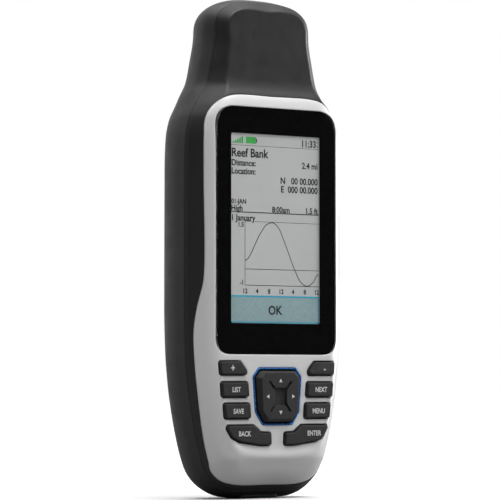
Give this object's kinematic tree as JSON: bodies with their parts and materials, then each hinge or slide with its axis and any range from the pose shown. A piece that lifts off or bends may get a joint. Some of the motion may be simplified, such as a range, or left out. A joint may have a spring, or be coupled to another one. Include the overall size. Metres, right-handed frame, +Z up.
{
  "type": "handheld marine gps navigator",
  "caption": "Upright handheld navigator with a tall display, a keypad with a tilting rocker, a fixed antenna head, and a latched battery door on the back.",
  "frame": {"origin": "centre of the small flat foot under the housing", "axes": "+Z up along the housing towards the antenna head; the display faces -Y; +X is the right-hand side seen from the front"},
  "size_m": [0.0673, 0.0316, 0.169],
  "materials": {
    "soft_touch_black": "soft-touch moulded, fine grain",
    "rear_rubber": "matte rubber-like overmould",
    "pearl_plate": "satin pearl silver-white paint",
    "lens_glass": "clear glass with black printed border",
    "lcd": null,
    "key_plastic": "matte, with pale legends",
    "blue_ring": "metallic blue",
    "silicone": "matte silicone",
    "circuit_board": "green solder mask",
    "steel": "stainless, satin",
    "gold_plate": "plated, satin",
    "antenna_ceramic": "matte former",
    "nylon": "moulded nylon",
    "cell_sleeve": "printed sleeve, plain"
  },
  "bodies": {
    "housing": {"antenna_board": "circuit_board", "antenna_bracket": "nylon", "antenna_core": "antenna_ceramic", "antenna_helix": "gold_plate", "antenna_socket": "gold_plate", "battery_left": "cell_sleeve", "battery_right": "cell_sleeve", "bridge_contact": "steel", "buzzer": "nylon", "card_slot": "steel", "display_lens": "lens_glass", "dome_sheet": "steel", "door_seal": "silicone", "face_plate": "pearl_plate", "front_housing": "soft_touch_black", "housing_screw_1": "steel", "housing_screw_2": "steel", "housing_screw_3": "steel", "housing_screw_4": "steel", "housing_screw_5": "steel", "housing_screw_6": "steel", "housing_seal": "silicone", "keypad_mat": "silicone", "lcd_frame": "steel", "lcd_panel": "lcd", "lens_gasket": "silicone", "main_board": "circuit_board", "mounting_rail": "nylon", "negative_contact": "steel", "port_board": "circuit_board", "positive_contact": "steel", "power_switch": "nylon", "rear_housing": "rear_rubber", "rocker_ring": "blue_ring", "shield_can": "steel", "spring_left": "steel", "spring_right": "steel", "usb_port": "steel"},
    "zoom_out_key": {"zoom_out_key": "key_plastic"},
    "zoom_in_key": {"zoom_in_key": "key_plastic"},
    "page_key": {"page_key": "key_plastic"},
    "find_key": {"find_key": "key_plastic"},
    "menu_key": {"menu_key": "key_plastic"},
    "mark_key": {"mark_key": "key_plastic"},
    "enter_key": {"enter_key": "key_plastic"},
    "quit_key": {"quit_key": "key_plastic"},
    "rocker_pivot": {"rocker_pivot": "nylon"},
    "rocker": {"rocker_cap": "key_plastic"},
    "power_key": {"power_key": "key_plastic"},
    "battery_door": {"battery_door": "rear_rubber"},
    "latch": {"latch_rotor": "steel", "latch_cam": "steel", "latch_screw": "steel"},
    "d_ring": {"d_ring": "steel"},
    "weather_cap": {"weather_cap": "rear_rubber"}
  },
  "joints": [
    {"name": "zoom_out_press", "type": "slide", "parent": "housing", "child": "zoom_out_key", "axis": [0, 1, 0], "range_m": [0, 0.0006], "stiffness_N_per_m": 700, "springref_m": -0.0008},
    {"name": "zoom_in_press", "type": "slide", "parent": "housing", "child": "zoom_in_key", "axis": [0, 1, 0], "range_m": [0, 0.0006], "stiffness_N_per_m": 700, "springref_m": -0.0008},
    {"name": "page_press", "type": "slide", "parent": "housing", "child": "page_key", "axis": [0, 1, 0], "range_m": [0, 0.0006], "stiffness_N_per_m": 700, "springref_m": -0.0008},
    {"name": "find_press", "type": "slide", "parent": "housing", "child": "find_key", "axis": [0, 1, 0], "range_m": [0, 0.0006], "stiffness_N_per_m": 700, "springref_m": -0.0008},
    {"name": "menu_press", "type": "slide", "parent": "housing", "child": "menu_key", "axis": [0, 1, 0], "range_m": [0, 0.0006], "stiffness_N_per_m": 700, "springref_m": -0.0008},
    {"name": "mark_press", "type": "slide", "parent": "housing", "child": "mark_key", "axis": [0, 1, 0], "range_m": [0, 0.0006], "stiffness_N_per_m": 700, "springref_m": -0.0008},
    {"name": "enter_press", "type": "slide", "parent": "housing", "child": "enter_key", "axis": [0, 1, 0], "range_m": [0, 0.0006], "stiffness_N_per_m": 700, "springref_m": -0.0008},
    {"name": "quit_press", "type": "slide", "parent": "housing", "child": "quit_key", "axis": [0, 1, 0], "range_m": [0, 0.0006], "stiffness_N_per_m": 700, "springref_m": -0.0008},
    {"name": "rocker_tilt_up_down", "type": "hinge", "parent": "housing", "child": "rocker_pivot", "pos_m": [0, -0.01065, 0.0343], "axis": [1, 0, 0], "range_deg": [-2, 2], "stiffness_Nm_per_rad": 0.4},
    {"name": "rocker_tilt_left_right", "type": "hinge", "parent": "rocker_pivot", "child": "rocker", "pos_m": [0, -0.01065, 0.0343], "axis": [0, 0, 1], "range_deg": [-2, 2], "stiffness_Nm_per_rad": 0.4},
    {"name": "power_press", "type": "slide", "parent": "housing", "child": "power_key", "axis": [-1, 0, 0], "range_m": [0, 0.0008], "stiffness_N_per_m": 700, "springref_m": -0.0008},
    {"name": "battery_door_lift", "type": "slide", "parent": "housing", "child": "battery_door", "axis": [0, 1, 0], "range_m": [0, 0.03]},
    {"name": "latch_turn", "type": "hinge", "parent": "battery_door", "child": "latch", "pos_m": [0, 0.0125, 0.0215], "axis": [0, 1, 0], "range_deg": [0, 90]},
    {"name": "d_ring_flip", "type": "hinge", "parent": "latch", "child": "d_ring", "pos_m": [0, 0.0141, 0.0241], "axis": [1, 0, 0], "range_deg": [0, 90]},
    {"name": "weather_cap_flip", "type": "hinge", "parent": "housing", "child": "weather_cap", "pos_m": [0, 0.0138, 0.1202], "axis": [-1, 0, 0], "range_deg": [0, 95]}
  ]
}
